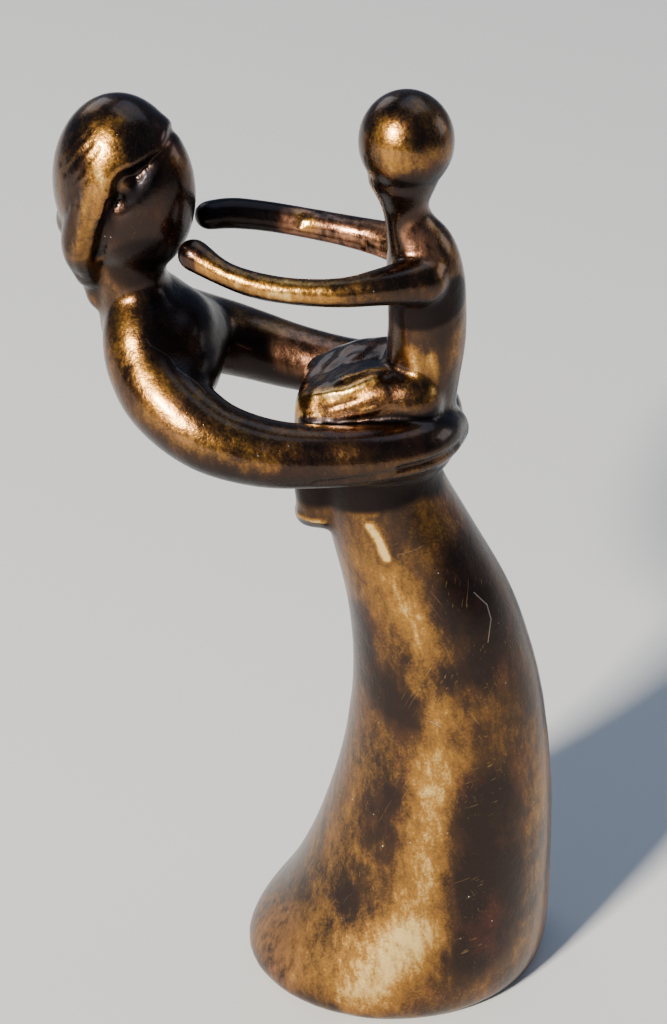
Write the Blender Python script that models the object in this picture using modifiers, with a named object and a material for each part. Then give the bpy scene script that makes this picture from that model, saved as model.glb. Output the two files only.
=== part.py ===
"""Mother and child: a cast bronze table sculpture, as one closed solid, in metres with +Z up.

A skirt like a curved horn stands on its oval foot. The child sits on top of it, in the ring of the
mother's arms, and reaches for her face. The mother's shoulders and head hang off the front of that
ring. She looks along +X and the child along -X, and the two sides of y = 0 are nearly alike.
"""

import math

import bmesh
import bpy
from mathutils import Matrix, Vector

# Driving sizes of the work, in metres.
HEIGHT = 0.250
FOOT_LENGTH = 0.082
FOOT_WIDTH = 0.0727
FOOT_TURN_UNDER = 0.0012
SKIRT_TOP_WIDTH = 0.034
ARM_THICKNESS = 0.0168
ARM_RING_WIDTH = 0.045
NECK_THICKNESS = 0.0150
MOTHER_HEAD_HEIGHT = 0.0400
MOTHER_HEAD_WIDTH = 0.0250
HAIR_THICKNESS = 0.0026
CHILD_HEAD_WIDTH = 0.0220
CHILD_ARM_THICKNESS = 0.0077
CHILD_ARM_SPREAD = 0.0340
CHILD_LEG_THICKNESS = 0.0130

# The pose and the profiles are given in 250ths of the height.
SHARE = HEIGHT / 250

# How finely the pieces are melted into one skin, and how far their joints are rounded.
SKIN_GRAIN = 1.5 * SHARE
ROUNDING_STEPS = 8
ROUNDING_PULL = 0.5
KEPT_FACES = 0.125

SIDES = (-1, 1)


def clear_scene():
    for old in list(bpy.data.objects):
        bpy.data.objects.remove(old)


def new_collection(name):
    found = bpy.data.collections.new(name)
    bpy.context.scene.collection.children.link(found)
    return found


def mesh_object(name, shape, collection):
    """Makes an object of a bmesh, and frees the bmesh."""
    mesh = bpy.data.meshes.new(name)
    shape.to_mesh(mesh)
    shape.free()
    made = bpy.data.objects.new(name, mesh)
    collection.objects.link(made)
    return made


def ball(name, centre, radii, collection, lean=0.0):
    """A sphere stretched to three radii, leaned about Y by lean degrees. Lengths are in shares."""
    shape = bmesh.new()
    bmesh.ops.create_uvsphere(shape, u_segments=32, v_segments=20, radius=SHARE)
    stretch = Matrix.Diagonal((*radii, 1))
    bmesh.ops.transform(shape, matrix=stretch, verts=shape.verts)
    made = mesh_object(name, shape, collection)
    made.location = Vector(centre) * SHARE
    made.rotation_euler = (0, math.radians(lean), 0)
    return made


def limb(name, points, collection):
    """A round tube through points of x, y, z and radius, all in shares, with a ball at either end."""
    curve = bpy.data.curves.new(name, "CURVE")
    curve.dimensions = "3D"
    curve.bevel_depth = SHARE
    curve.bevel_resolution = 6
    curve.resolution_u = 8
    curve.use_fill_caps = True
    spline = curve.splines.new("BEZIER")
    spline.bezier_points.add(len(points) - 1)
    for point, (x, y, z, radius) in zip(spline.bezier_points, points):
        point.co = Vector((x, y, z)) * SHARE
        point.radius = radius
        point.handle_left_type = point.handle_right_type = "AUTO"
    made = bpy.data.objects.new(name, curve)
    collection.objects.link(made)
    ends = [
        ball(f"{name}_end", (x, y, z), (radius,) * 3, collection)
        for x, y, z, radius in (points[0], points[-1])
    ]
    return [made, *ends]


def mirrored(points, side):
    return [(x, side * y, z, radius) for x, y, z, radius in points]


def skirt(collection):
    """A horn that stands on its wide end: oval rings one above the other, swept back and then forward."""
    foot, breadth = FOOT_LENGTH / 2 / SHARE, FOOT_WIDTH / 2 / SHARE
    top = SKIRT_TOP_WIDTH / 2 / SHARE
    turned_under = FOOT_TURN_UNDER / SHARE
    # height, centre, half length, half width and skew of each ring
    rings = [
        (-9, -1.6, foot - turned_under, breadth - 3 * turned_under, 0.055),
        (0, -1.6, foot, breadth - turned_under, 0.055),
        (8, 0.9, 0.98 * foot, breadth, 0.055),
        (20, 5.5, 0.865 * foot, 0.93 * breadth, 0.05),
        (34, 8.4, 0.79 * foot, 0.83 * breadth, 0.03),
        (50, 10.8, 0.725 * foot, 0.75 * breadth, 0.02),
        (70, 12.4, 0.65 * foot, 0.67 * breadth, 0.01),
        (92, 11.9, 0.585 * foot, 0.60 * breadth, 0.0),
        (114, 7.7, 0.525 * foot, 0.25 * breadth + 0.60 * top, 0.0),
        (134, -0.4, 0.438 * foot, top, 0.0),
        (150, -7.2, 0.365 * foot, 0.94 * top, 0.0),
        (162, -7.0, 0.33 * foot, 0.85 * top, 0.0),
    ]
    return [ring_loft("skirt", rings, collection)]


def ring_loft(name, rings, collection, sides=16):
    """Oval rings joined into a cage, which Subdivision Surface rounds. It draws each ring in by a
    known factor, so the cage is made larger by that factor. A ring's skew swings its ends along Y."""
    drawn_in = (2 + math.cos(math.tau / sides)) / 3
    shape = bmesh.new()
    loops = []
    for z, centre, half_length, half_width, skew in rings:
        loop = []
        for k in range(sides):
            turn = math.tau * k / sides
            along = half_length / drawn_in * math.cos(turn)
            across = half_width / drawn_in * math.sin(turn)
            loop.append(shape.verts.new(Vector((centre + along, across + skew * along, z)) * SHARE))
        loops.append(loop)
    for lower, upper in zip(loops, loops[1:]):
        for k in range(sides):
            after = (k + 1) % sides
            shape.faces.new((lower[k], lower[after], upper[after], upper[k]))
    shape.faces.new(list(reversed(loops[0])))
    shape.faces.new(loops[-1])
    made = mesh_object(name, shape, collection)
    rounded = made.modifiers.new("rounded", "SUBSURF")
    rounded.levels = rounded.render_levels = 2
    return made


def mother_arms(collection):
    """The two arms leave the shoulders, drop to the child's hips and meet behind its back."""
    thick, wide = ARM_THICKNESS / 2 / SHARE, ARM_RING_WIDTH / 2 / SHARE
    points = [
        (-62.4, 0.12 * wide, 191, 1.08 * thick),
        (-62.0, 0.32 * wide, 187, 1.14 * thick),
        (-60.0, 0.51 * wide, 181.6, 1.18 * thick),
        (-55.6, 0.74 * wide, 177.0, 1.17 * thick),
        (-48.8, 0.93 * wide, 172.9, 1.12 * thick),
        (-41, 1.03 * wide, 169.6, 1.05 * thick),
        (-30, 1.02 * wide, 166.8, 0.97 * thick),
        (-18, 0.94 * wide, 165.8, 0.90 * thick),
        (-7, 0.86 * wide, 166, 0.86 * thick),
    ]
    near_end = [(2.5, 0.68 * wide, 166, 0.83 * thick), (7.5, 0.42 * wide, 165.6, 0.77 * thick)]
    near_end += [(10, 0.05 * wide, 163.8, 0.68 * thick)]
    far_end = [(2.5, 0.68 * wide, 164.4, 0.80 * thick), (7.2, 0.42 * wide, 162.6, 0.70 * thick)]
    far_end += [(9, 0, 162, 0.62 * thick)]
    pieces = []
    for side, end in zip(SIDES, (near_end, far_end)):
        pieces += limb("arm", mirrored(points + end, side), collection)
    pieces.append(ball("chest", (-58.3, 0, 183), (13.4, 0.8 * wide, 12.3), collection))
    for side in SIDES:
        rim = [(-55, 0.72 * wide, 177.5, 9.4), (-53.2, 0.36 * wide, 179, 9.7), (-53, 0, 179.3, 9.7)]
        collar = [(-60.5, 0.42 * wide, 184.5, 9.1), (-58.2, 0.2 * wide, 186, 9.4), (-58.2, 0, 186.4, 9.5)]
        pieces += limb("chest_rim", mirrored(rim, side), collection)
        pieces += limb("collar", mirrored(collar, side), collection)
    lower_hand = [(10, 3, 161, 4.6), (6, -11, 160, 4.4), (-2, -16.5, 159, 3.4), (-10, -18, 158.5, 2.0)]
    pieces += limb("lower_hand", lower_hand, collection)
    return pieces


def mother_head(collection, cutters):
    """A smooth blank face under a helmet of hair that is open to the front and hangs to the nape."""
    high = MOTHER_HEAD_HEIGHT / 2 / SHARE
    wide = MOTHER_HEAD_WIDTH / 2 / SHARE
    neck = NECK_THICKNESS / 2 / SHARE
    hair = HAIR_THICKNESS / SHARE
    throat = [(-64, 0, 188, 1.3 * neck), (-65.4, 0, 198, 1.12 * neck), (-65.4, 0, 206, 1.13 * neck)]
    pieces = limb("neck", throat, collection)
    pieces.append(ball("face", (-64.5, 0, 221.5), (14.9, wide, 1.05 * high), collection))
    cap = ball("hair", (-67.4, 0, 224.1), (13.2 + hair, wide + hair, 1.05 * high), collection)
    fringe = ball("fringe", (-63, 0, 233.5), (8.8, wide - 0.8, 9.9), collection)
    opening = face_opening(cutters)
    for lock in (cap, fringe):
        cut = lock.modifiers.new("face_opening", "BOOLEAN")
        cut.operation = "DIFFERENCE"
        cut.object = opening
        pieces.append(lock)
    nape = [(-74.9, 0, 214, 8.0), (-73.6, 0, 205, 5.6), (-72.8, 0, 199.5, 4.4)]
    tail = [(-72.6, 0, 199.5, 4.4), (-71.2, 0, 193.2, 4.1)]
    pieces += limb("nape_lock", nape, collection) + limb("tail_lock", tail, collection)
    for side in SIDES:
        behind_ear = [(-71, 9, 222, 5.2), (-75, 6.8, 209, 4.4), (-74.8, 3, 199.5, 3.4)]
        pieces += limb("side_lock", mirrored(behind_ear, side), collection)
    return pieces


def face_opening(cutters):
    """The leaning block with round corners that opens the hair in front of the ears."""
    shape = bmesh.new()
    bmesh.ops.create_cube(shape, size=1)
    size = Vector((40 * SHARE, 2 * MOTHER_HEAD_WIDTH, 48 * SHARE))
    bmesh.ops.transform(shape, matrix=Matrix.Diagonal((*size, 1)), verts=shape.verts)
    across = [edge for edge in shape.edges if abs(edge.verts[0].co.y - edge.verts[1].co.y) > SHARE]
    bmesh.ops.bevel(shape, geom=across, offset=13 * SHARE, segments=8, profile=0.5, affect="EDGES")
    made = mesh_object("face_opening", shape, cutters)
    made.location = Vector((-48.5, 0, 213.5)) * SHARE
    made.rotation_euler = (0, math.radians(20), 0)
    return made


def child_body(collection):
    """A plain egg of a head on a straight back, which widens to the seat."""
    head = CHILD_HEAD_WIDTH / 2 / SHARE
    trunk = [
        (-1.3, 0, 229, 8.4),
        (-0.8, 0, 222, 5.5),
        (0.4, 0, 217, 6.0),
        (2.8, 0, 211, 8.2),
        (4.2, 0, 204, 9.1),
        (4.7, 0, 196, 9.3),
        (4.7, 0, 187, 9.3),
        (3.7, 0, 178, 9.2),
        (2.0, 0, 168, 9.8),
    ]
    pieces = limb("trunk", trunk, collection)
    pieces.append(ball("seat", (-7.5, 0, 162.5), (15, 18, 14), collection))
    pieces.append(ball("child_head", (-0.8, 0, 238.2), (head, head, 12), collection))
    return pieces


def child_limbs(collection):
    """Arms that reach for the mother's face, thighs on her lap and shins that hang in front of it."""
    arm = CHILD_ARM_THICKNESS / 2 / SHARE
    spread = CHILD_ARM_SPREAD / 2 / SHARE
    leg = CHILD_LEG_THICKNESS / 2 / SHARE
    near_reach = [
        (4, 0.40 * spread, 206.5, 1.60 * arm),
        (-5, 0.77 * spread, 207.4, 1.20 * arm),
        (-14, 0.95 * spread, 207.0, 1.02 * arm),
        (-25, spread, 207.1, 0.97 * arm),
        (-34, 0.96 * spread, 207.9, 0.94 * arm),
        (-41.5, 0.86 * spread, 209.5, 0.88 * arm),
        (-48, 0.70 * spread, 211.4, 0.92 * arm),
    ]
    far_reach = [
        (4, 0.40 * spread, 205.5, 1.70 * arm),
        (-5, 0.77 * spread, 205.5, 1.25 * arm),
        (-16, 0.95 * spread, 206.1, 1.04 * arm),
        (-28, spread, 207.5, 0.98 * arm),
        (-36, 0.96 * spread, 208.8, 0.98 * arm),
        (-43.5, 0.85 * spread, 210.0, 1.0 * arm),
        (-48.6, 0.66 * spread, 210.8, 0.95 * arm),
    ]
    thigh = [(2, 6.5, 175, 1.2 * leg), (-10, 7.5, 174, 1.1 * leg), (-19.5, 7.5, 170, leg)]
    shin = [(-19.5, 7.5, 169, leg), (-21, 7, 155, 0.85 * leg), (-20.5, 6, 142, 0.85 * leg)]
    foot = [(-17, 5.5, 140.5, 4.5), (-22.5, 5.5, 140, 4.2)]
    pieces = []
    for side, reach in zip(SIDES, (near_reach, far_reach)):
        pieces += limb("child_arm", mirrored(reach, side), collection)
        pieces += limb("thigh", mirrored(thigh, side), collection)
        pieces += limb("shin", mirrored(shin, side), collection)
        pieces += limb("foot", mirrored(foot, side), collection)
    return pieces


def melt_together(name, pieces, collection):
    """Puts every piece into one mesh, whose crossing surfaces the remesh then makes one skin."""
    bpy.context.view_layer.update()
    graph = bpy.context.evaluated_depsgraph_get()
    whole = bmesh.new()
    for piece in pieces:
        mesh = bpy.data.meshes.new_from_object(piece.evaluated_get(graph))
        mesh.transform(piece.matrix_world)
        whole.from_mesh(mesh)
        bpy.data.meshes.remove(mesh)
    bmesh.ops.remove_doubles(whole, verts=whole.verts, dist=SHARE / 1000)
    for piece in pieces:
        bpy.data.objects.remove(piece)
    return mesh_object(name, whole, collection)


def ground_block(cutters):
    """A block whose top is the plane that the foot stands on."""
    shape = bmesh.new()
    bmesh.ops.create_cube(shape, size=HEIGHT)
    made = mesh_object("ground_block", shape, cutters)
    made.location = (0, 0, -HEIGHT / 2)
    return made


def cast(statue, cutters):
    """One skin, its joints rounded, its even spots thinned out, and its foot cut flat."""
    skin = statue.modifiers.new("one_skin", "REMESH")
    skin.mode = "VOXEL"
    skin.voxel_size = SKIN_GRAIN
    rounding = statue.modifiers.new("rounded_joints", "SMOOTH")
    rounding.factor = ROUNDING_PULL
    rounding.iterations = ROUNDING_STEPS
    thinned = statue.modifiers.new("thinned", "DECIMATE")
    thinned.ratio = KEPT_FACES
    thinned.use_collapse_triangulate = True
    flat_foot = statue.modifiers.new("flat_foot", "BOOLEAN")
    flat_foot.operation = "DIFFERENCE"
    flat_foot.object = ground_block(cutters)


def bronze():
    """Dark brown patina over warm bronze."""
    material = bpy.data.materials.new("patinated_bronze")
    material.use_nodes = True
    shader = material.node_tree.nodes["Principled BSDF"]
    shader.inputs["Base Color"].default_value = (0.19, 0.105, 0.045, 1)
    shader.inputs["Metallic"].default_value = 0.9
    shader.inputs["Roughness"].default_value = 0.32
    material.diffuse_color = (0.19, 0.105, 0.045, 1)
    return material


def main():
    clear_scene()
    work = new_collection("mother_and_child_sculpture")
    cutters = new_collection("cutters")
    pieces = skirt(work) + mother_arms(work) + mother_head(work, cutters)
    pieces += child_body(work) + child_limbs(work)
    statue = melt_together("mother_and_child", pieces, work)
    cast(statue, cutters)
    statue.data.materials.append(bronze())
    for cutter in cutters.objects:
        cutter.hide_render = True
        cutter.display_type = "WIRE"


main()
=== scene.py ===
"""Mother and child, cast in bronze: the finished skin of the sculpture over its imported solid.

The sections follow the work as its wax was built up: the skirt, the mother's arms and chest, her head
and hair, the child, the casting of all of them as one skin, the hand-cut marks, and the patina. The
last one is the table it stands on, with its light and the camera.
"""

import bpy
import numpy as np
from mathutils import Euler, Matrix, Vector


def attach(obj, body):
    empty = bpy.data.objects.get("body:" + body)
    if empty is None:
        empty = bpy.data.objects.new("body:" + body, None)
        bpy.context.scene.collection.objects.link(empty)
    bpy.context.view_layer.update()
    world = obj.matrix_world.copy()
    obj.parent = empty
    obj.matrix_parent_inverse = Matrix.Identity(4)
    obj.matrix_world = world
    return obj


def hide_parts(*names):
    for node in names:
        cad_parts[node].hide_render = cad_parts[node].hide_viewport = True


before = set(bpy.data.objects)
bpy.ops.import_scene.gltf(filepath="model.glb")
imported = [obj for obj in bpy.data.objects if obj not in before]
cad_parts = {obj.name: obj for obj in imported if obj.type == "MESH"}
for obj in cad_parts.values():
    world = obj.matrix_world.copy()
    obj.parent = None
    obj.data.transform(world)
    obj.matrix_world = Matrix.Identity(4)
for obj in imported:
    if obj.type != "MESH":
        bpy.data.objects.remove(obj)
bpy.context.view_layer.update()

# The skirt: the mother's body from the hips down, one horn of wax on an oval foot.
# It sweeps back to the hips and bends forward under the child. All lengths are in millimetres.

# height, centre, half length, half width, and the skew that swings a ring's ends along Y
SKIRT_RINGS = np.array([
    (-2, -1.2, 39.06, 33.35, 0.055),
    (-0.2, -1.2, 40.66, 34.95, 0.055),
    (8.7, 1.2, 39.53, 35.73, 0.054),
    (20.3, 5.2, 35.74, 33.62, 0.048),
    (34.3, 8.3, 32.46, 30.29, 0.032),
    (50.7, 10.7, 29.66, 27.26, 0.02),
    (70.3, 12.1, 26.72, 24.42, 0.01),
    (92, 11.3, 24.02, 21.81, 0.002),
    (113.7, 7.1, 21.34, 19.33, 0),
    (133.3, -0.2, 18.05, 17.21, 0),
    (149.3, -6, 15.22, 15.89, 0),
    (162, -7, 13.53, 14.45, 0),
])

forms = []


def eased(knots, count):
    """A smooth run through rows of numbers: between two rows it is the cubic whose slope at each row
    is half the step between that row's neighbours."""
    knots = np.asarray(knots, float)
    slope = np.gradient(knots, axis=0)
    at = np.linspace(0, len(knots) - 1, count)
    low = np.minimum(at.astype(int), len(knots) - 2)
    t = (at - low)[:, None]
    start, end = knots[low], knots[low + 1]
    leave, arrive = slope[low], slope[low + 1]
    rise = 3 * t**2 - 2 * t**3
    return start + (end - start) * rise + leave * (t**3 - 2 * t**2 + t) + arrive * (t**3 - t**2)


def wrap(points):
    """Keeps a grid of points, rows by turns, as a closed form: each row is a ring, and the first and
    last rows are closed by a fan to their own middle."""
    rows, turns = points.shape[:2]
    ends = points[[0, -1]].mean(axis=1)
    row, turn = np.meshgrid(np.arange(rows - 1), np.arange(turns), indexing="ij")
    after = (turn + 1) % turns
    quads = np.stack([row * turns + turn, row * turns + after,
                      (row + 1) * turns + after, (row + 1) * turns + turn], axis=-1).reshape(-1, 4)
    turn = np.arange(turns)
    after = (turn + 1) % turns
    first, last = rows * turns, rows * turns + 1
    start_fan = np.stack([after, turn, np.full(turns, first)], axis=1)
    top = (rows - 1) * turns
    end_fan = np.stack([top + turn, top + after, np.full(turns, last)], axis=1)
    forms.append((np.vstack([points.reshape(-1, 3), ends]), [quads, start_fan, end_fan]))


def skirt_surface(rows=150, turns=160):
    """A point at a turn and a height: its half length times the turn's cosine along X from the ring's
    centre, and its half width times the turn's sine along Y, plus the skew times the way along X."""
    z, centre, length, width, skew = eased(SKIRT_RINGS, rows).T[..., None]
    turn = np.linspace(0, 2 * np.pi, turns, endpoint=False)
    along = length * np.cos(turn)
    across = width * np.sin(turn) + skew * along
    return np.stack([centre + along, across, np.broadcast_to(z, along.shape)], axis=-1)


wrap(skirt_surface())

# The mother's arms and chest: two rolls of wax that leave the shoulders, drop to the child's hips and
# meet behind its back, where the far hand passes under the near one. Webs between them are the chest.

# x, y, z and radius
ARM = ((-62.4, 2.7, 191, 9.1), (-62, 7.2, 187, 9.6), (-60, 11.5, 181.6, 9.9), (-55.6, 16.6, 177, 9.8),
       (-48.8, 20.9, 172.9, 9.4), (-41, 23.2, 169.6, 8.8), (-30, 23, 166.8, 8.15), (-18, 21.2, 165.8, 7.55),
       (-7, 19.4, 166, 7.2))
NEAR_HAND = ((2.5, 15.3, 166, 6.9), (7.5, 9.4, 165.6, 6.4), (10, 1.1, 163.8, 5.6))
FAR_HAND = ((2.5, 15.3, 164.4, 6.7), (7.2, 9.4, 162.6, 5.8), (9, 0, 162, 5.1))
UNDER_HAND = ((10, 3, 161, 4.4), (6, -11, 160, 4.3), (-2, -16.5, 159, 3.3), (-10, -18, 158.5, 2.0))
CHEST_EGG = ((-58.3, 0, 183), (13.4, 18, 12.3))
CHEST_RIM = ((-55, 16.2, 177.5, 9.2), (-53.2, 8.1, 179, 9.5), (-53, 0, 179.3, 9.5))
COLLAR = ((-60.5, 9.5, 184.5, 8.9), (-58.2, 4.5, 186, 9.2), (-58.2, 0, 186.4, 9.3))
# the signs of x, y, z and radius on the near side and on the far side
BOTH_SIDES = (np.array((1, -1, 1, 1)), np.array((1, 1, 1, 1)))
# the upward part of a path's direction past which its rings are laid out from X and not from Z
STEEP = 0.9


def roll(knots, signs=BOTH_SIDES[1], turns=48, rows_to_knot=10, end_rows=8):
    """A round profile carried along a smooth path of x, y, z and radius, each times its sign. Past
    either end the radius falls as a quarter circle's cosine while the centre moves on by its sine,
    which rounds the end."""
    path = eased(np.array(knots) * signs, rows_to_knot * (len(knots) - 1) + 1)
    centre, radius = path[:, :3], path[:, 3]
    along = np.gradient(centre, axis=0)
    along /= np.linalg.norm(along, axis=1, keepdims=True)
    fall = np.linspace(np.pi / 2, 0, end_rows, endpoint=False)
    start = centre[0] - along[0] * radius[0] * np.sin(fall)[:, None]
    end = centre[-1] + along[-1] * radius[-1] * np.sin(fall[::-1])[:, None]
    centre = np.vstack([start, centre, end])
    radius = np.concatenate([radius[0] * np.cos(fall), radius, radius[-1] * np.cos(fall[::-1])])
    along = np.vstack([np.repeat(along[:1], end_rows, 0), along, np.repeat(along[-1:], end_rows, 0)])
    lean = np.where(np.abs(along[:, 2:]) > STEEP, (1.0, 0.0, 0.0), (0.0, 0.0, 1.0))
    side = np.cross(along, lean)
    side /= np.linalg.norm(side, axis=1, keepdims=True)
    rise = np.cross(side, along)
    turn = np.linspace(0, 2 * np.pi, turns, endpoint=False)[None, :, None]
    ring = side[:, None] * np.cos(turn) + rise[:, None] * np.sin(turn)
    return centre[:, None] + radius[:, None, None] * ring


def globe(rows, turns):
    """The points of a sphere of radius 1: at each rise from pole to pole and each turn about Z, the
    rise's cosine times the turn's cosine and sine, and the rise's sine."""
    rise = np.linspace(-np.pi / 2, np.pi / 2, rows)[:, None]
    turn = np.linspace(0, 2 * np.pi, turns, endpoint=False)
    return np.stack(np.broadcast_arrays(np.cos(rise) * np.cos(turn), np.cos(rise) * np.sin(turn),
                                        np.sin(rise)), axis=-1)


def ball(centre, radii, rows=48, turns=64):
    """An egg: its centre, and its three radii times the points of the globe."""
    return np.asarray(centre) + np.asarray(radii) * globe(rows, turns)


for side, hand in zip(BOTH_SIDES, (NEAR_HAND, FAR_HAND)):
    wrap(roll(ARM + hand, side))
    wrap(roll(CHEST_RIM, side))
    wrap(roll(COLLAR, side))
wrap(ball(*CHEST_EGG))
wrap(roll(UNDER_HAND))

# The mother's head: a smooth egg of a face, left blank, on a thick neck. Her hair is a second skin of
# wax laid over it, parted from the cheek by a dark channel in which the lobe of the ear shows.

HEAD_MIDDLE = np.array((-65.5, 0.0, 222.5))
FACE_EGG = ((-64.5, 0, 221.5), (14.9, 12.5, 21.0))
HAIR_EGG = ((-67.3, 0, 224.3), (15.6, 15.1, 21.2))
THIN_HAIR = 0.9
# x and z seen from the side, each line from the crown down to the nape
HAIR_EDGE = ((-56.4, 246), (-55.6, 241), (-55.3, 238.4), (-55.6, 236.6), (-57.6, 235), (-59.7, 233.6),
             (-61.9, 232.4), (-64.4, 231.2), (-66, 229), (-66.3, 226.4), (-67.2, 223.4), (-68.8, 219.8),
             (-70.8, 215.6), (-72.6, 210), (-73.6, 200))
CHEEK_EDGE = ((-50, 240), (-53.6, 236.6), (-55.8, 234), (-57.8, 232), (-59.3, 230.2), (-59.7, 227.6),
              (-61.4, 225.4), (-64.2, 223.7), (-66.4, 221.4), (-67.7, 218), (-69.5, 214), (-71.3, 208),
              (-72.6, 200))
# where a ramp begins and is full: the hair's thickness behind its own edge, and the channel's depth in
# front of that edge, behind the cheek's edge, and down from its top, where the heights are negated
HAIR_BEHIND = (-0.3, 0.6)
CHANNEL_IN_FRONT, CHANNEL_BEHIND, CHANNEL_BELOW = (-0.2, 0.7), (-0.6, 2.4), (-238.5, -234.0)
CHANNEL_DEPTH = 3.0
EAR_MIDDLE = (-63.1, 228.4)
EAR_HALF_SIZES = (2.5, 3.7)
EAR_LEAN = np.radians(-36)
EAR_HEIGHT = 2.6
NECK = ((-64, 0, 188, 9.6), (-65.3, 0, 198, 8.3), (-65.3, 0, 207, 8.4), (-64.8, 0, 214, 9.0))
NAPE_LOCK = ((-74.9, 0, 214, 7.9), (-73.6, 0, 205, 5.5), (-72.8, 0, 199.5, 4.3))
TAIL_LOCK = ((-73.6, 0, 200, 4.5), (-72.6, 0, 194.2, 4.1))
SIDE_LOCK = ((-72.3, 9, 222, 5.5), (-75.4, 7.6, 211, 4.9), (-74.8, 3.6, 201.5, 3.6))
# how many points a line is measured by for each point that it is given by
LINE_STEPS = 12


def ramp(value, low, high):
    """Rises from 0 at low to 1 at high as three squares less two cubes."""
    t = np.clip((value - low) / (high - low), 0, 1)
    return t * t * (3 - 2 * t)


def ahead_of(line, x, z):
    """How far a point seen from the side lies in front of a smooth line that runs down: its distance
    to the nearest of the line's points, with the sign of the cross product of the line's run there."""
    run = eased(line, LINE_STEPS * len(line))
    step = np.gradient(run, axis=0)
    nearest = np.full(x.shape, np.inf)
    front = np.zeros(x.shape)
    for (line_x, line_z), (step_x, step_z) in zip(run, step):
        away = (x - line_x) ** 2 + (z - line_z) ** 2
        closer = away < nearest
        nearest = np.where(closer, away, nearest)
        front = np.where(closer, step_x * (z - line_z) - step_z * (x - line_x), front)
    return np.sqrt(nearest) * np.sign(front)


def reach(direction, egg):
    """How far a ray from the head's middle runs to the far wall of an egg: the larger root of the
    quadratic that puts the ray's end on it, or nothing where the ray misses."""
    centre, radii = np.asarray(egg[0]), np.asarray(egg[1])
    start = (HEAD_MIDDLE - centre) / radii
    along = direction / radii
    square = (along**2).sum(-1)
    half = (along * start).sum(-1)
    inside = half**2 - square * ((start**2).sum() - 1)
    return np.where(inside > 0, (np.sqrt(np.maximum(inside, 0)) - half) / square, 0)


def head_surface(rows=300, turns=380):
    """From the middle of the head a ray goes out at each turn and rise. It ends on the face's egg in
    front of the hair's edge and on the hair's egg behind it; between the two edges it ends deeper, but
    for the lobe of the ear, half an egg that stands on the channel's floor."""
    ray = globe(rows, turns)
    face = reach(ray, FACE_EGG)
    hair = np.maximum(reach(ray, HAIR_EGG), face + THIN_HAIR)
    seen = HEAD_MIDDLE + ray * face[..., None]
    x, z = seen[..., 0], seen[..., 2]
    in_front = ahead_of(HAIR_EDGE, x, z)
    behind = -ahead_of(CHEEK_EDGE, x, z)
    sunk = ramp(in_front, *CHANNEL_IN_FRONT) * ramp(behind, *CHANNEL_BEHIND) * ramp(-z, *CHANNEL_BELOW)
    across, along = x - EAR_MIDDLE[0], z - EAR_MIDDLE[1]
    ear_across = (across * np.cos(EAR_LEAN) - along * np.sin(EAR_LEAN)) / EAR_HALF_SIZES[0]
    ear_along = (across * np.sin(EAR_LEAN) + along * np.cos(EAR_LEAN)) / EAR_HALF_SIZES[1]
    ear = EAR_HEIGHT * np.sqrt(np.maximum(1 - ear_across**2 - ear_along**2, 0))
    length = face + (hair - face) * ramp(-in_front, *HAIR_BEHIND)
    length += sunk * (np.minimum(ear, CHANNEL_DEPTH) - CHANNEL_DEPTH)
    return HEAD_MIDDLE + ray * length[..., None]


wrap(head_surface())
for part in (NECK, NAPE_LOCK, TAIL_LOCK):
    wrap(roll(part))
for side in BOTH_SIDES:
    wrap(roll(SIDE_LOCK, side))

# The child: a plain egg of a head on a straight back, with thin arms that reach for her face. It sits
# in the ring of her arms, its thighs along her lap and its shins hanging down before it.

CHILD_HEAD_EGG = ((-0.8, 0, 238.2), (11.1, 11, 12.0))
SEAT_EGG = ((-7.5, 0, 162.5), (15, 18, 14))
CHILD_TRUNK = ((-1.3, 0, 229, 8.4), (-0.8, 0, 222, 5.5), (0.4, 0, 217, 6.0), (2.8, 0, 211, 8.2),
               (4.2, 0, 204, 9.1), (4.7, 0, 196, 9.3), (4.7, 0, 187, 9.3), (3.7, 0, 178, 9.2),
               (2, 0, 168, 9.8))
NEAR_REACH = ((4, 6.8, 206.5, 6.0), (-5, 13.1, 207.4, 4.4), (-14, 16.2, 207, 3.5), (-25, 17, 207.1, 3.2),
              (-34, 16.3, 207.9, 3.15), (-41.5, 14.6, 209.6, 3.05), (-48.4, 11.7, 212.2, 3.9))
FAR_REACH = ((4, 6.8, 205.5, 6.2), (-5, 13.1, 205.5, 4.7), (-16, 16.2, 206.1, 3.9), (-28, 17, 207.5, 3.7),
             (-36, 16.3, 208.8, 3.7), (-43.5, 14.5, 210, 3.8), (-48.6, 11.2, 210.8, 3.6))
THIGH = ((2, 6.5, 175, 7.8), (-10, 7.5, 174, 7.2), (-19.5, 7.5, 170, 6.5))
LAP = ((2, 3, 174.5, 7.6), (-10, 3, 173.3, 7.2), (-18.6, 3, 169.8, 6.6))
KNEE = ((-19.8, 7.5, 169.6, 6.3), (-19.8, 0, 169.6, 6.3))
SHIN = ((-19.5, 7.5, 169, 6.5), (-21, 7, 155, 5.5), (-20.5, 6, 142, 5.5))
FOOT = ((-17, 5.5, 140.5, 4.5), (-22.5, 5.5, 140, 4.2))

wrap(ball(*CHILD_HEAD_EGG))
wrap(ball(*SEAT_EGG))
wrap(roll(CHILD_TRUNK))
for side, arm in zip(BOTH_SIDES, (NEAR_REACH, FAR_REACH)):
    for part in (arm, THIGH, LAP, KNEE, SHIN, FOOT):
        wrap(roll(part, side))

# The casting: every form is melted into one skin of bronze, as the wax was, and its joints are rubbed
# round with a warm tool. The skirt is drawn in while the skin is made, which gives it larger faces.

MILLIMETRE = 0.001
# the width of a face of the skin, in millimetres
FACE_WIDTH = 0.70
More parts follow.
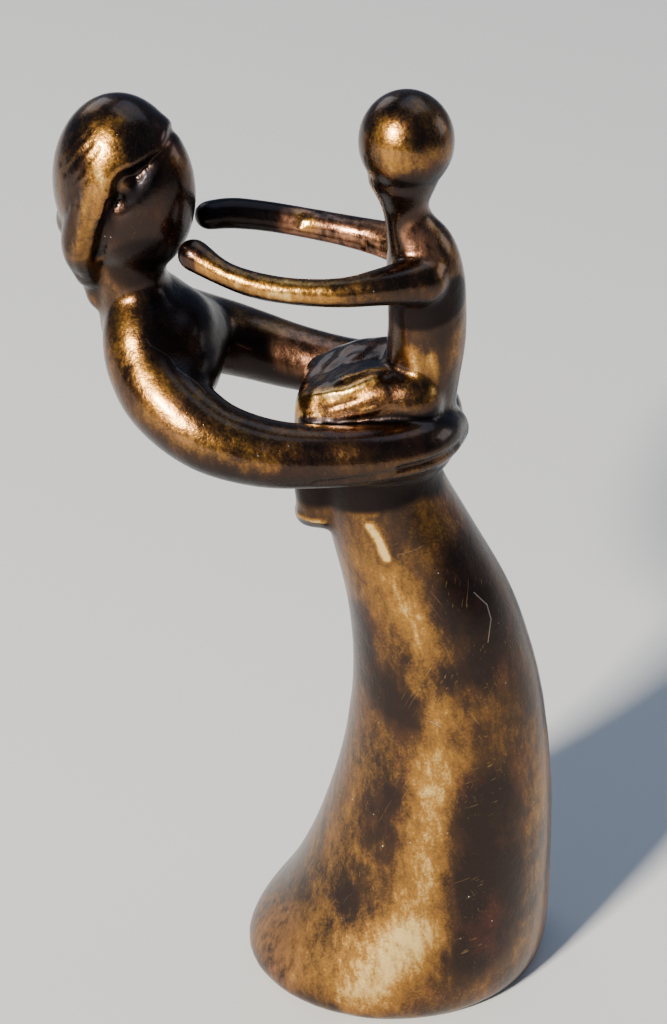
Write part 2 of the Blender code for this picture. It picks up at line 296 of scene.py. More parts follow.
# the skirt's share of its width while it is drawn in, the heights between which that grows to 1, and the
# heights that it is worked out for
DRAWN_IN, DRAWN_BETWEEN = 0.42, (100.0, 150.0)
HEIGHTS_BETWEEN, HEIGHT_STEPS = (-20, 270), 2000
# the most of the way to its neighbours' middle that a point moves in a round, and how many rounds each
# kind of place gets
PULL = 0.5
FIGURE_ROUNDS, SOFT_ROUNDS, LIP_ROUNDS = 9, 30, 24
# the parts smoothed in their own way: each direction that bounds one, and where its share begins and
# is full
HEAD_BOUNDS = (((-1, 0, 0), 50, 56), ((0, 0, 1), 209, 214))
SKIRT_BOUNDS = (((0, 0, -1), -150, -125),)
CHEST_BOUNDS = (((-1, 0, 0), 43, 50), ((1, 0, 0), -71, -67), ((0, 0, 1), 174, 179),
                ((0, 0, -1), -207, -200))
# how much of the figures' smoothing the head is spared
HEAD_KEPT = 0.75
CHEEK_LIP = np.array(((-55.5, -9.6, 232.6), (-58, -10.9, 229.4), (-60.4, -11.8, 226), (-64, -12.8, 223)))
LIP_RADIUS = 4.0
HEAD_TOP = 249.85

heights = np.linspace(*HEIGHTS_BETWEEN, HEIGHT_STEPS)
draw = DRAWN_IN + (1 - DRAWN_IN) * ramp(heights, *DRAWN_BETWEEN)
drawn_heights = np.cumsum(draw) * (heights[1] - heights[0])


def drawn_in(points):
    """Scales each point by the draw at its height, and its height by the sum of the draw below it."""
    share = np.interp(points[:, 2], heights, draw)
    height = np.interp(points[:, 2], heights, drawn_heights)
    return np.column_stack([points[:, 0] * share, points[:, 1] * share, height])


def let_out(points):
    """Undoes drawn_in."""
    height = np.interp(points[:, 2], drawn_heights, heights)
    share = np.interp(height, heights, draw)
    return np.column_stack([points[:, 0] / share, points[:, 1] / share, height])


def melted(shapes):
    """One mesh of all the closed shapes, and then one skin around them in even square faces."""
    corners = np.vstack([points for points, _ in shapes])
    first = np.cumsum([0] + [len(points) for points, _ in shapes])
    faces = [group + start for (_, groups), start in zip(shapes, first) for group in groups]
    sizes = np.concatenate([np.full(len(group), group.shape[1]) for group in faces])
    loops = np.concatenate([group.ravel() for group in faces])
    wax = bpy.data.meshes.new("wax")
    wax.vertices.add(len(corners))
    wax.vertices.foreach_set("co", (drawn_in(corners) * MILLIMETRE).ravel())
    wax.loops.add(len(loops))
    wax.loops.foreach_set("vertex_index", loops)
    wax.polygons.add(len(sizes))
    wax.polygons.foreach_set("loop_start", np.cumsum(sizes) - sizes)
    wax.update(calc_edges=True)
    mould = bpy.data.objects.new("mould", wax)
    bpy.context.scene.collection.objects.link(mould)
    skin = mould.modifiers.new("one_skin", "REMESH")
    skin.mode = "VOXEL"
    skin.voxel_size = FACE_WIDTH * MILLIMETRE
    made = bpy.data.meshes.new_from_object(mould.evaluated_get(bpy.context.evaluated_depsgraph_get()))
    bpy.data.objects.remove(mould)
    return made


def settled(points, share, rounds):
    """In each round a point moves its share of the pull on the way to the middle of its neighbours."""
    pull = PULL * np.broadcast_to(share, len(points))
    count = np.bincount(edges.ravel(), minlength=len(points))
    for _ in range(rounds):
        middle = np.column_stack([
            np.bincount(edges[:, 0], axis[edges[:, 1]], len(points))
            + np.bincount(edges[:, 1], axis[edges[:, 0]], len(points)) for axis in points.T
        ]) / count[:, None]
        points = points + pull[:, None] * (middle - points)
    return points


def outward(points):
    """The unit normal of each point: the sum of the cross products of the diagonals of its faces."""
    a, b, c, d = (points[quads[:, k]] for k in range(4))
    face = np.cross(c - a, d - b)
    normal = np.column_stack([
        np.bincount(quads.ravel(), np.repeat(axis, 4), len(points)) for axis in face.T
    ])
    return normal / np.linalg.norm(normal, axis=1, keepdims=True)


def inside(points, bounds):
    """The product of the ramps of the points along each of the directions that bound a part."""
    return np.prod([ramp(points @ np.array(way), low, high) for way, low, high in bounds], axis=0)


def nearness(path, radius, edge=1.0):
    """1 near a smooth path and 0 past the radius. It falls as the ramp of the distance to the path's
    points, over the radius's outer part, whose share of the radius is the edge."""
    away = np.full(len(points), np.inf)
    for place in eased(path, LINE_STEPS * len(path)):
        away = np.minimum(away, ((points - place) ** 2).sum(axis=1))
    return ramp(-np.sqrt(away), -radius, (edge - 1) * radius)


mirror = np.array((1, -1, 1))
mesh = melted(forms)
points = np.empty(3 * len(mesh.vertices))
mesh.vertices.foreach_get("co", points)
points = let_out(points.reshape(-1, 3) / MILLIMETRE)
edges = np.empty(2 * len(mesh.edges), np.int32)
mesh.edges.foreach_get("vertices", edges)
edges = edges.reshape(-1, 2)
quads = np.empty(len(mesh.loops), np.int32)
mesh.loops.foreach_get("vertex_index", quads)
quads = quads.reshape(-1, 4)
at_chest = inside(points, CHEST_BOUNDS)
points = settled(points, 1 - HEAD_KEPT * inside(points, HEAD_BOUNDS), FIGURE_ROUNDS)
points = settled(points, np.maximum(inside(points, SKIRT_BOUNDS), at_chest), SOFT_ROUNDS)
points[:, 2] *= HEAD_TOP / points[:, 2].max()
for lip in (CHEEK_LIP, CHEEK_LIP * mirror):
    points = settled(points, nearness(lip, LIP_RADIUS), LIP_ROUNDS)

# The hand-cut marks: the strands of the hair, the folds of the lap, the parting of the crossed hands,
# the toes and the cracks in the child's far arm, cut or pressed in the wax with a small tool.

# each mark: its depth, which is below nothing for a ridge, its half width, and its path
NEAR_MARKS = (
    (-0.7, 1.6, ((-21, -10.6, 175.6), (-16.9, -11.5, 177.1), (-12.8, -12, 178.4), (-9.8, -11.5, 179.8),
                 (-6, -9.6, 181.4))),
    (-0.4, 1.4, ((-13.4, -9, 180), (-9, -7.6, 181.6), (-5, -6.5, 182.4))),
    (0.7, 1.0, ((-25.4, 15.4, 210.3), (-26.3, 14.5, 209.6), (-27.1, 13.5, 207.9))),
    (0.6, 0.9, ((-11.3, 11, 205.7), (-10.9, 11.6, 203.3))),
    (0.5, 1.3, ((-18, -28, 162.4), (-12.1, -27.2, 163.2), (-6.6, -26.3, 164), (-0.7, -24.5, 164.6))),
    (1.3, 1.8, ((1, -24, 164.8), (3.8, -22.4, 165), (7.9, -19.2, 165), (11.3, -15, 164.6),
                (13.5, -10.5, 164))),
    (0.5, 1.1, ((-22, -13.6, 171.6), (-17, -14, 174.6), (-11, -13.4, 176.8), (-5, -11.6, 178.6))),
    (0.4, 1.0, ((-14, -16, 171.6), (-8, -15.6, 174), (-1, -13.6, 176))),
    (-0.5, 1.4, ((-23.6, -12.6, 169.4), (-18, -15, 171.4), (-12, -15.4, 173.4), (-5, -14.2, 175.4))),
    (-0.6, 1.6, ((-24.4, -9, 141), (-21.4, -10.4, 140.8), (-18.6, -10.4, 140.4))),
    (1.1, 1.4, ((-24, -10.5, 138), (-20, -11.4, 137.4), (-16, -11.4, 137))),
)
# cut on the near side as given, and on the far side as its mirror image
BOTH_SIDES_MARKS = (
    (1.3, 1.9, ((-66.6, 14.4, 225), (-67.6, 13.9, 220.4), (-69.2, 12.7, 215.1), (-71, 9.9, 208.8))),
    (0.4, 1.0, ((-77.6, 10.0, 230), (-75, 10.9, 234), (-71.2, 10.5, 238))),
    (0.35, 1.0, ((-75.2, 12, 229), (-72.6, 12.4, 233), (-69.6, 11.3, 237.4))),
    (0.3, 0.9, ((-79, 8.4, 231.4), (-76, 9.2, 235.8), (-72.6, 8.8, 239.4))),
    (0.35, 0.9, ((-77.4, 11.5, 222), (-74.6, 13, 227), (-71, 13.3, 232))),
    (0.7, 1.6, ((-74.4, 13.2, 226), (-75.6, 13.0, 218), (-77, 11, 210), (-76.4, 7.6, 203))),
    (0.35, 1.1, ((-71.4, 14.6, 226), (-72.4, 14.2, 218), (-73.8, 12.6, 210))),
)
# the lap, over the thighs only: its path, its radius and edge, and where it begins and is full in the
# upward part of the normal and in height
LAP_PATH, LAP_RADIUS, LAP_EDGE = ((-22, 0, 170), (-12, 0, 174), (-2, 0, 178)), 17, 0.5
LAP_UPWARD, LAP_HEIGHTS = (-0.3, 0.2), (164, 170)
# the waves that a thumb pressed into it: their height, and how fast each turns along X, Y and Z
LAP_LUMPS = 0.10
LAP_WAVES = ((0.5, 0.3, -0.62), (-0.3, 0.65, 0.5), (0.95, -0.8, 0.4))
# the share and the rounds that blunt the marks, and the rounds of smoothing that relief is measured by
BLUNT_SHARE, BLUNT_ROUNDS = 0.5, 2
RELIEF_ROUNDS = 16

normals = outward(points)
for depth, half_width, path in NEAR_MARKS + BOTH_SIDES_MARKS:
    points -= depth * nearness(path, half_width)[:, None] * normals
for depth, half_width, path in BOTH_SIDES_MARKS:
    points -= depth * nearness(path * mirror, half_width)[:, None] * normals

lap = nearness(LAP_PATH, LAP_RADIUS, LAP_EDGE) * ramp(normals[:, 2], *LAP_UPWARD)
lap *= ramp(points[:, 2], *LAP_HEIGHTS)
waves = sum(np.sin(points @ way) for way in LAP_WAVES)
points += (LAP_LUMPS * lap * waves)[:, None] * normals
points = settled(points, BLUNT_SHARE, BLUNT_ROUNDS)
points[:, 2] = np.maximum(points[:, 2], 0)

# relief: the depth in millimetres of a hollow, or below nothing the height of a ridge
normals = outward(points)
relief = ((settled(points, 1, RELIEF_ROUNDS) - points) * normals).sum(axis=1)

# The patina: bronze coloured dark brown with acid and heat, waxed, and since rubbed bright again where
# hands and cloth rub it, down the skirt, on the lap, the knees, the arms and the heads. Painted highlights,
# painted shade and painted shadows are laid into the same colours.

# red, green, blue and alpha of its colours, in the order in which they are laid one over another
DARK_BROWN = (0.026, 0.014, 0.010, 1)
BROWN = (0.140, 0.064, 0.020, 1)
RED_BROWN = (0.12, 0.033, 0.020, 1)
COPPER = (0.36, 0.16, 0.085, 1)
GOLD = (0.47, 0.215, 0.034, 1)
# bright metal where it is rubbed most, and painted highlight
BRIGHT_BRONZE_AND_HIGHLIGHT = (0.90, 0.62, 0.22, 1)
HAIRLINE_BRONZE = (0.42, 0.25, 0.09, 1)
SCRATCH_GREY = (0.42, 0.33, 0.27, 1)
SPECK_WHITE = (0.75, 0.70, 0.62, 1)
PIT_BLACK = (0.012, 0.009, 0.008, 1)
# the near black of the painted shade and painted shadows
PAINTED_SHADE_BLACK = (0.010, 0.008, 0.009, 1)
# dark patina in the hollows, and painted shade in the creases
HOLLOW_PATINA_AND_SHADE = (0.010, 0.008, 0.008, 1)
# its noises, from large to small: grains to the metre, how many times finer grain is added, and its weight
CLOUDS = (38, 4, 0.55)
REDNESS = (60, 3, 0.6)
BLOTCHES = (150, 4, 0.6)
DENTS = (190, 2, 0.5)
MOTTLE = (520, 3, 0.6)
STIPPLE = (1500, 2, 0.6)
# its dots: cells to the metre, and a dot's radius as a share of its cell
SPECKS, PITS = (260, 0.06), (410, 0.10)
# the hairlines of its polish: the turns in degrees about X, Y and Z that give their direction, and the
# grains to the metre of their patches and of the lines themselves, which are so many times as long
HAIRLINES = (((0, -35, 0), 60, 3400), ((0, 25, 0), 71, 3150), ((50, 0, 0), 82, 2900),
             ((-30, 0, 0), 93, 2650), ((0, 75, 20), 104, 2400))
HAIRLINE_LENGTH = 60
# the turn and the length of what cloth rubs up and down, and the heights in metres between which the
# brushed skirt gives way to the smoother figures
RUBBED_TURN, RUBBED_LENGTH = np.radians(-10), 2.4
SATIN_BETWEEN = (0.12, 0.16)
# the single scratches of the near side: the axes that place each, with 0 for the axis it is seen along,
# and its corners. The core is the share of the width at which it begins to fade
SCRATCH_WIDTH, SCRATCH_CORE, DOT_CORE = 0.13, 0.4, 0.6
SCRATCHES = (
    ((1, 1, 0), ((-59.6, -15.5, 0), (-58.3, -16.4, 0), (-53.8, -16.8, 0), (-51.6, -18.8, 0),
                 (-46.4, -19.7, 0), (-44.7, -21.3, 0))),
    ((1, 0, 1), ((18.6, 0, 123.4), (21.8, 0, 119.3), (23, 0, 115.6), (22.6, 0, 110.5))),
    ((1, 0, 1), ((9.4, 0, 90.5), (12.2, 0, 89.1))),
)
# where the first patina is rubbed through, together with painted highlights where the light catches: the
# sheen down the skirt's front, the highlights on both heads, along the near arm's ridge and the lap's
# ridge, and on the lit edge of the child's feet. Each place, here and below: its share, its radius, its
# path
WEAR_AND_HIGHLIGHT_PLACES = (
    (1.9, 2.0, ((-6.6, -16, 143.5), (-4.6, -16.4, 140), (-2.6, -16.9, 135))),
    (0.75, 8, ((-1, -17, 130), (3, -18, 122), (8, -19.5, 111))),
    (0.5, 12, ((6.3, -19.5, 113), (10.5, -21.7, 97), (12.3, -23.8, 80))),
    (0.9, 11, ((11.6, -24, 80), (9.8, -26.1, 62.8), (9, -29, 45.5), (5, -32, 30))),
    (1.25, 17, ((6, -32, 28), (-1, -34, 20), (-6, -34, 12))),
    (0.5, 24, ((-10, -28, 28), (-24, -24, 16), (-34, -14, 12))),
    (0.4, 22, ((-6, -14, 70), (-8, -18, 52), (-16, -18, 36))),
    (0.3, 20, ((-8, -12, 128), (-8, -11, 108))),
    (0.65, 8, ((-5, -8, 243), (-2, -11, 237))),
    (0.3, 10, ((6, -8, 236), (2, -9, 232))),
    (1.2, 3, ((-20.8, -10.6, 175.4), (-12.8, -12, 178.4), (-7, -10.1, 181))),
    (1.2, 2.4, ((-21.6, -11.2, 171.6), (-19, -13, 172))),
    (1.0, 4, ((-25.1, -8.7, 172.8), (-24, -12, 169.5))),
    (0.9, 1.6, ((-14, -8.6, 180), (-9, -7.2, 181.6), (-4, -6.6, 182.6))),
    (0.8, 4, ((2.8, -8.9, 188), (3, -9, 183))),
    (0.9, 2.2, ((6.4, -8.9, 187), (8, -10, 180), (4, -12, 176))),
    (0.7, 9, ((-68, -11, 239), (-67.7, -12, 236.3), (-68.9, -13.7, 232.1))),
    (0.45, 7, ((-66, -8, 243), (-61, -9.6, 240), (-62, -12, 235))),
    (0.6, 6, ((-70.9, -14.1, 228.4), (-72.2, -13.8, 219.3), (-74.5, -11.6, 210))),
    (0.5, 6, ((-66, -10.9, 194.9), (-61.2, -19.3, 187.1), (-54, -27, 179.6), (-46, -30.6, 174.4))),
    (0.4, 8, ((-43.6, -31, 172.9), (-34, -31.5, 168.4), (-26, -30, 167))),
    (0.8, 6, ((-44, -16.8, 210.6), (-30, -19.4, 208), (-16, -18, 207))),
    (0.5, 5, ((-16, -18, 207), (-8, -15, 207))),
    (1.3, 3.6, ((-28.2, 13.5, 211), (-25.4, 13.8, 208.6))),
    (1.6, 1.8, ((-24.4, -9.1, 140.6), (-21.4, -10.9, 140.4), (-18.7, -10.7, 140))),
    (0.8, 1.4, ((-12, -14, 146), (-5, -16, 147.2))),
    (0.5, 20, ((12, 18, 118), (20, 22, 90), (16, 27, 60), (8, 34, 24))),
    (0.5, 18, ((33, 4, 80), (36, -2, 50), (38, 0, 20))),
    (0.5, 14, ((-3, 10, 241), (0, 11, 237))),
    (0.6, 12, ((-76, 12, 234), (-76, 12, 216))),
    (0.4, 11, ((-61, 22, 187), (-54, 29, 178), (-42, 31, 171), (-28, 31, 167))),
    (0.4, 12, ((14, 0, 200), (13, 2, 186))),
)
# where the patina is still thick, down the skirt; and painted shade under the chins, on the necks, under
# the near arm, along the lap and on the top of the mother's head
PATINA_AND_SHADE_PLACES = (
    (1.0, 9, ((-9, -11, 112), (-8, -12, 101), (-3, -17, 96), (3, -21, 92))),
    (0.7, 9, ((-4, -20, 62), (-5, -24, 52))),
    (0.5, 10, ((-10, -25, 40), (-10, -28, 33))),
    (1.0, 14, ((23, -20, 66), (25, -23, 44), (24, -27, 22))),
    (0.7, 8, ((13, -20, 103), (18, -18.7, 105), (22, -15, 106))),
    (0.7, 13, ((16, -12, 130), (22, -12, 112))),
    (0.8, 9, ((8, -12, 170), (13, -4, 168), (13, 6, 166))),
    (0.9, 13, ((-57, -8, 240), (-56, 0, 243), (-57, 8, 240))),
    (0.6, 14, ((-54, -8, 222), (-54, 0, 212), (-54, 8, 222))),
    (0.6, 9, ((-2, -8, 228), (-1, -5, 220))),
    (0.8, 7, ((-15, 2, 177), (-6, 3, 181), (0, 4, 183))),
    (0.8, 8, ((-21, 8, 174), (-12, 9, 178))),
    (0.8, 5, ((-4, -7, 229), (2, -8, 228))),
    (0.9, 8, ((1, -8, 230.6), (7, -7, 232))),
    (1.0, 12, ((-57, -8, 206), (-59, -9, 211), (-62, -11, 217))),
    (0.6, 9, ((-58, -11, 222), (-55, -9, 228))),
    (0.9, 10, ((-66, 0, 246), (-60, 0, 245))),
    (0.5, 4, ((-73.8, -13.2, 233), (-76.5, -12, 222), (-77, -9.6, 212))),
    (0.9, 5, ((10, -14, 168), (3, -19, 169), (-6, -22, 169.6))),
    (0.7, 6, ((-60, -8, 206), (-56, -8, 198), (-58, 0, 196))),
    (0.7, 12, ((-12, -27, 161), (-28, -29, 160.6), (-42, -28, 163))),
)
# painted shadow where the arms and heads shade the bronze: on the skirt under the mother's arms, on the
# child's trunk under and beside its arms, on the mother's chest, the inside of her far arm, the child's far
# arm, along the lap under the near arm and under the chin, ending at a clear edge as a cast shadow does
PAINTED_SHADOW_PLACES = (
    (1.0, 8.6, ((-21, -10, 151.8), (-12, -13, 153), (-3, -15, 155), (6, -12, 156), (12, -4, 153.6))),
    (1.0, 8.6, ((-21, 10, 151.8), (-12, 13, 153), (-3, 15, 155), (6, 12, 156), (12, 4, 153.6))),
    (1.0, 5.6, ((-3.1, -4.5, 198), (2.4, -8.8, 198.6), (8, -8.5, 200), (12, -5, 202))),
    (0.9, 4.5, ((-3.5, -4, 204), (-4.5, -3, 196), (-4.4, -2, 187))),
    (1.0, 5.6, ((-3.1, 4.5, 198), (2.4, 8.8, 198.6), (8, 8.5, 200), (12, 5, 202))),
    (0.9, 15, ((-50, -9, 190), (-45, 0, 184), (-50, 9, 188))),
    (1.0, 9, ((-45, 14, 172), (-38, 15, 169), (-29, 15, 166))),
    (0.95, 5.5, ((-48.6, 10, 210), (-42, 13.2, 210.5), (-32.6, 14, 209.5))),
    (1.0, 1.8, ((-24, -13, 169.6), (-13.9, -16, 172.2), (-3.4, -15.7, 173.4), (8, -11, 173.4))),
    (0.75, 8, ((-56.6, -6.6, 206), (-60, -8.6, 209), (-64, -9.6, 206.6))),
)
# painted shade in the channel between the cheek and the hair, as dark, with a softer edge
CHANNEL_SHADE_PLACES = (
    (1.3, 3.2, ((-66, -13, 224.6), (-67.4, -13, 221), (-69, -13, 216), (-71, -10.6, 209))),
    (1.3, 4.6, ((-56.6, -9, 233.4), (-58, -9.8, 231.4), (-59.6, -10.4, 228.6), (-62.4, -11.4, 225.4))),
)
# where the patina is thin and pink as copper, and painted sunlight on the lit parts of the child's far arm
# and of the inside of the mother's far arm
COPPER_AND_LIT_PLACES = (
    (1.0, 7, ((-27, 14, 208), (-18, 13.5, 207.5), (-9, 10.5, 206))),
    (0.9, 5, ((2.7, -5.9, 216.6), (5, -6.5, 214))),
    (0.8, 8, ((-29, 17, 172), (-22, 15, 172))),
    (0.5, 5, ((-52, -27, 179), (-48, -29, 176))),
    (0.7, 1.6, ((-30.3, -28.6, 172), (-29.9, -28.7, 171.6))),
    (0.7, 1.6, ((-66, -5.6, 245), (-65.5, -5.8, 244.8))),
    (0.6, 14, ((-33, -20, 14), (-30, -22, 10))),
)
PAINTED_SHADOW_EDGE, COPPER_EDGE = 0.3, 0.5
# painted shade on the undersides too: where that begins and is full, in the downward part of the normal and
# in height
DOWNWARD, ABOVE_SKIRT = (0.1, 0.6), (120, 140)


def painted(places, edge=1.0):
    """The strongest of the places at each point, each its share times the nearness to its path."""
    found = np.zeros(len(points))
    for share, radius, path in places:
        found = np.maximum(found, share * nearness(path, radius, edge))
    return found


def carry(name, values):
    """Stores one number for each point of the skin."""
    held = mesh.attributes.new(name, "FLOAT", "POINT")
    held.data.foreach_set("value", np.ascontiguousarray(values, dtype=np.float32))


mesh.vertices.foreach_set("co", (points * MILLIMETRE).ravel())
mesh.update()
mesh.name = "mother_and_child_skin"
mesh.shade_smooth()
carry("relief", relief)
# with the rubbed places go painted highlights, with the dark places painted shade, with the copper places
# painted sunlight, and the last one is painted shade and shadow
carry("wear_and_highlight", painted(WEAR_AND_HIGHLIGHT_PLACES))
carry("dark", painted(PATINA_AND_SHADE_PLACES))
carry("copper_and_light", painted(COPPER_AND_LIT_PLACES, COPPER_EDGE))
# painted shade on the undersides of the figures
shaded_undersides = ramp(-normals[:, 2], *DOWNWARD) * ramp(points[:, 2], *ABOVE_SKIRT)
# painted shadow, and painted shade in the channel by the ear
painted_shadows = np.maximum(painted(PAINTED_SHADOW_PLACES, PAINTED_SHADOW_EDGE), painted(CHANNEL_SHADE_PLACES))
carry("painted_shade", np.maximum(painted_shadows, shaded_undersides))
casting = bpy.data.objects.new("mother_and_child_skin", mesh)
bpy.context.scene.collection.objects.link(casting)


class Tone:
    """A socket of the patina's nodes. Arithmetic on it adds the Math nodes that work it out."""

    nodes = links = None

    def __init__(self, socket):
        self.socket = socket

    @classmethod
    def of(cls, kind, settings=None, output=0, **values):
        """Adds a node of any kind, sets it, fills its sockets by name or by number (as n0, n1), and
        gives the socket that it puts out."""
        node = cls.nodes.new("ShaderNode" + kind)
        for name, value in (settings or {}).items():
            setattr(node, name, value)
        sockets = [socket for socket in node.inputs if socket.enabled]
        named = {socket.name.replace(" ", "_"): socket for socket in sockets}
        for name, value in values.items():
            socket = sockets[int(name[1:])] if name[1:].isdigit() else named[name]
            if isinstance(value, Tone):
                cls.links.new(value.socket, socket)
            else:
                socket.default_value = value
        found = [socket for socket in node.outputs if socket.enabled]
        return cls(found[output]) if found else None

    def maths(self, operation, other, turned=False):
        """Adds a Math node on two values, with the other one first where they are turned."""
        first, second = (other, self) if turned else (self, other)
        return Tone.of("Math", {"operation": operation}, n0=first, n1=second)

    def __add__(self, other):
        return self.maths("ADD", other)

    def __radd__(self, other):
        return self.maths("ADD", other, True)

    def __sub__(self, other):
        return self.maths("SUBTRACT", other)

    def __rsub__(self, other):
        return self.maths("SUBTRACT", other, True)

    def __mul__(self, other):
        return self.maths("MULTIPLY", other)

    def __rmul__(self, other):
        return self.maths("MULTIPLY", other, True)

    def within(self, low, high):
        """0 below low, 1 above high, and smooth between them."""
        return Tone.of("MapRange", {"interpolation_type": "SMOOTHSTEP"},
                       n0=self, n1=low, n2=high, n3=0.0, n4=1.0)


bronze = bpy.data.materials.new("patinated_bronze")
bronze.use_nodes = True
bronze.node_tree.nodes.clear()
Tone.nodes, Tone.links = bronze.node_tree.nodes, bronze.node_tree.links

normal = Tone.of("TexCoord", output=1)
place = Tone.of("TexCoord", output=3)


def grain(scale, detail=3.0, roughness=0.5, where=place, distortion=0.0):
    """Cloudy noise from 0 to 1: how many grains to the metre, and how much finer grain lies in them."""
    return Tone.of("TexNoise", Vector=where, Scale=scale, Detail=detail, Roughness=roughness,
                   Distortion=distortion)


def swing(scale, detail, roughness, where=place, distortion=0.0):
    """Cloudy noise from -1 to 1: twice what the grain has over a half."""
    return (grain(scale, detail, roughness, where, distortion) - 0.5) * 2


def stretched(turned, length):
    """Places for noise that is so many times longer along Z than across it, once that is turned."""
    return Tone.of("Mapping", {"vector_type": "TEXTURE"}, Vector=place, Rotation=turned,
                   Scale=(1.0, 1.0, length))


def strokes(lean, scale):
    """The hairlines that polishing leaves: noise stretched along one direction and thin across it. They
    fade where the surface faces that way, because there the noise would be cut across into dots."""
    turned = Euler(np.radians(lean))
    facing = Tone.of("VectorMath", {"operation": "DOT_PRODUCT"}, n0=normal,
                     n1=turned.to_matrix() @ Vector((0, 0, 1)))
    lines = grain(scale, 1, 0.5, stretched(turned, HAIRLINE_LENGTH)).within(0.66, 0.74)
    return lines * (1 - (facing * facing).within(0.02, 0.12))


def scratch(flat, start, end):
    """1 along a straight scratch and 0 beside it: the distance to its nearest point, which is the dot
    product's share of the way along it. It is measured square to the axis where flat is 0."""
    run = end - start
    seen = Tone.of("VectorMath", {"operation": "MULTIPLY"}, n0=place, n1=flat)
    off = Tone.of("VectorMath", {"operation": "SUBTRACT"}, n0=seen, n1=start)
    share = Tone.of("VectorMath", {"operation": "DOT_PRODUCT"}, n0=off, n1=run / run.length_squared)
    share = Tone.of("Math", {"operation": "ADD", "use_clamp": True}, n0=share, n1=0.0)
    nearest = Tone.of("VectorMath", {"operation": "SCALE"}, n0=run, Scale=share)
    away = Tone.of("VectorMath", {"operation": "DISTANCE"}, n0=off, n1=nearest)
    return 1 - away.within(SCRATCH_CORE * SCRATCH_WIDTH * MILLIMETRE, SCRATCH_WIDTH * MILLIMETRE)


def dots(scale, radius):
    """1 in round spots scattered one to a cell, at so many cells to the metre, and 0 between them."""
    away = Tone.of("TexVoronoi", Vector=place, Scale=scale)
    return 1 - away.within(DOT_CORE * radius, radius)


def mix(below, above, share):
    """Lays one colour over another by a share."""
    return Tone.of("Mix", {"data_type": "RGBA"}, n0=share, n1=below, n2=above)


# rubbing with painted highlights, thick patina with painted shade, copper with painted sunlight, painted
# shade and shadow, and relief
wear_and_highlight, dark, copper_and_light, painted_shade, hollow = (
    Tone.of("Attribute", {"attribute_name": name}, output=2)
    for name in ("wear_and_highlight", "dark", "copper_and_light", "painted_shade", "relief")
)
satin = 1 - Tone.of("SeparateXYZ", output=2, Vector=place).within(*SATIN_BETWEEN)
rubbed = stretched(Euler((0, RUBBED_TURN, 0)), RUBBED_LENGTH)
clouds = swing(*CLOUDS, distortion=0.8)
blotches = swing(*BLOTCHES, rubbed, 0.4)
mottle = swing(*MOTTLE, rubbed)
stipple = swing(*STIPPLE)

# the hairlines of each direction lie in patches; the scratches are on the near side only
scratched = 0.0
for lean, patches, lines in HAIRLINES:
    line = strokes(lean, lines) * grain(patches, 1).within(0.48, 0.6)
    scratched = line + scratched * (1 - line)
scratched = scratched * (1 - painted_shade) * (satin * 0.8 + 0.2)
scored = 0.0
for flat, line in SCRATCHES:
    for start, end in zip(line, line[1:]):
        scored = scored + scratch(flat, Vector(start) * MILLIMETRE, Vector(end) * MILLIMETRE)
scored = scored * (1 - Tone.of("SeparateXYZ", output=1, Vector=place).within(-0.002, 0.002))
specks = dots(*SPECKS) * blotches.within(0.0, 0.2)
pits = dots(*PITS) * clouds.within(0.0, 0.2)

# how far it is rubbed, raised by the painted highlights and lowered by the painted shade: the patina goes
# to gold first, on ridges before hollows, and then to bright metal and painted highlight
wear_and_highlight_level = wear_and_highlight * 1.1 + clouds * 0.55 + blotches * 0.5 + mottle * 0.6 + stipple * 0.45 - dark
gold = wear_and_highlight_level.within(-0.1, 1.3) * (1 - painted_shade) * hollow.within(0.3, -0.1)
bright = (wear_and_highlight_level + mottle * 0.3).within(0.75, 1.7) * (1 - painted_shade)

# the patina under the gold: how far from its darkest brown, less under the painted shade of the dark places
# and more under the painted highlights, and how red
shade = (clouds * 0.8 + blotches * 0.5 + mottle * 0.2 - dark * 0.7 + wear_and_highlight * 0.3).within(-0.5, 0.7)
redness = grain(*REDNESS, distortion=0.5).within(0.48, 0.7) * blotches.within(-0.3, 0.3)

# each colour is laid by its share over the ones before it
tone = mix(DARK_BROWN, BROWN, shade)
for layer, share in (
    (RED_BROWN, redness * 0.5),
    # copper patina, and painted sunlight on the child's far arm and the inside of the mother's far arm
    (COPPER, copper_and_light * (mottle + blotches).within(-0.6, 0.5)),
    # gold and bright metal where it is rubbed, and painted highlights
    (GOLD, gold),
    (BRIGHT_BRONZE_AND_HIGHLIGHT, bright),
    (HAIRLINE_BRONZE, scratched * 0.4),
    (SCRATCH_GREY, scored * 0.8),
    (SPECK_WHITE, specks),
    (PIT_BLACK, pits * 0.8),
    # painted shade and shadow, near black, less where the painted sunlight of the copper places lies
    (PAINTED_SHADE_BLACK, painted_shade * (0.92 - copper_and_light * 0.6)),
    # dark patina in the hollows, and painted shade in the creases
    (HOLLOW_PATINA_AND_SHADE, hollow.within(0.12, 0.5)),
):
    tone = mix(tone, layer, share)

# the marks roughen it, and so does the painted shade, where there is less wax too
roughness = (0.29 + satin * 0.08 + blotches * 0.07 + mottle * 0.06 + stipple * 0.08 + scratched * 0.08
             + painted_shade.within(0.8, 1.3) * 0.22)
wax_weight = 0.34 - painted_shade * 0.26
dented = Tone.of("Bump", Strength=0.35, Distance=0.0006, Height=grain(*DENTS))
pebbled = Tone.of("Bump", Strength=0.28, Distance=0.00012,
                  Height=stipple + mottle - scratched * 0.8 - pits * 2.0, Normal=dented)

surface = Tone.of("BsdfPrincipled", n0=tone, Metallic=1.0, Roughness=roughness, Normal=pebbled,
                  Coat_Weight=wax_weight, Coat_Roughness=0.14)
Tone.of("OutputMaterial", n0=surface)
mesh.materials.append(bronze)

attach(casting, "root")
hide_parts("mother_and_child")

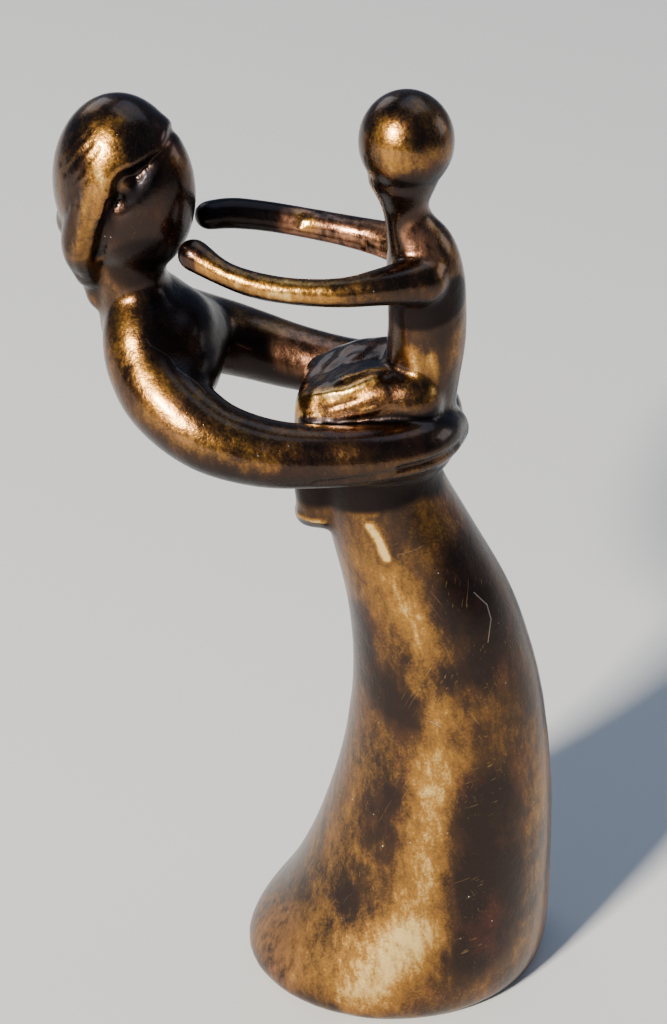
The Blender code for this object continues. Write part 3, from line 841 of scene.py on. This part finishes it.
# The table and the light: a plain pale floor, a strong lamp high to the left of the camera as the sun,
# weaker bluish ones above, to the right and behind, and the camera where the photograph was taken.

FLOOR_HALF = 4.0
FLOOR_COLOUR, FLOOR_ROUGHNESS = (0.56, 0.55, 0.53, 1), 0.9
WORLD_COLOUR, WORLD_STRENGTH = (0.48, 0.64, 1.0, 1), 0.20
# the camera's place in metres, how far it looks down and to the left, and its lens in millimetres
CAMERA_PLACE = (0.05318, -0.57521, 0.51283)
CAMERA_DOWN = np.radians(33)
CAMERA_TURN = np.radians(7)
CAMERA_LENS = 98.44
# each lamp: the bearing and the height in degrees that it stands at, its distance and its size in
# metres, its power in watts and its tint, and all of them aim at the middle of the work
LAMPS_AIM = np.array((-0.02, 0, 0.14))
LAMPS = (
    ("key_light", -121, 33, 3.0, 0.38, 300.0, (1.0, 0.95, 0.86)),
    ("sky_light", 60, 66, 1.3, 1.0, 4.5, (0.50, 0.68, 1.0)),
    ("side_light", 20, 18, 1.2, 0.5, 2.0, (0.86, 0.93, 1.0)),
    ("back_light", 130, 35, 1.3, 0.6, 2.6, (0.80, 0.90, 1.0)),
)

floor_mesh = bpy.data.meshes.new("floor")
floor_mesh.from_pydata([(-FLOOR_HALF, -FLOOR_HALF, 0), (FLOOR_HALF, -FLOOR_HALF, 0),
                        (FLOOR_HALF, FLOOR_HALF, 0), (-FLOOR_HALF, FLOOR_HALF, 0)], [], [(0, 1, 2, 3)])
floor = bpy.data.objects.new("floor", floor_mesh)
bpy.context.scene.collection.objects.link(floor)
pale = bpy.data.materials.new("pale_floor")
pale.use_nodes = True
paint = pale.node_tree.nodes["Principled BSDF"].inputs
paint["Base Color"].default_value = FLOOR_COLOUR
paint["Roughness"].default_value = FLOOR_ROUGHNESS
floor_mesh.materials.append(pale)

for name, bearing, height, distance, size, power, tint in LAMPS:
    lamp = bpy.data.lights.new(name, "AREA")
    lamp.size = size
    lamp.energy = power
    lamp.color = tint
    held = bpy.data.objects.new(name, lamp)
    bearing, height = np.radians(bearing), np.radians(height)
    away = np.array((np.cos(height) * np.cos(bearing), np.cos(height) * np.sin(bearing), np.sin(height)))
    held.location = LAMPS_AIM + distance * away
    held.rotation_euler = (np.pi / 2 - height, 0, bearing + np.pi / 2)
    bpy.context.scene.collection.objects.link(held)

world = bpy.data.worlds.new("studio")
world.use_nodes = True
sky = world.node_tree.nodes["Background"].inputs
sky["Color"].default_value = WORLD_COLOUR
sky["Strength"].default_value = WORLD_STRENGTH
bpy.context.scene.world = world

lens = bpy.data.cameras.new("camera")
lens.lens = CAMERA_LENS
camera = bpy.data.objects.new("camera", lens)
camera.location = CAMERA_PLACE
camera.rotation_euler = (np.pi / 2 - CAMERA_DOWN, 0, CAMERA_TURN)
bpy.context.scene.collection.objects.link(camera)
bpy.context.scene.camera = camera
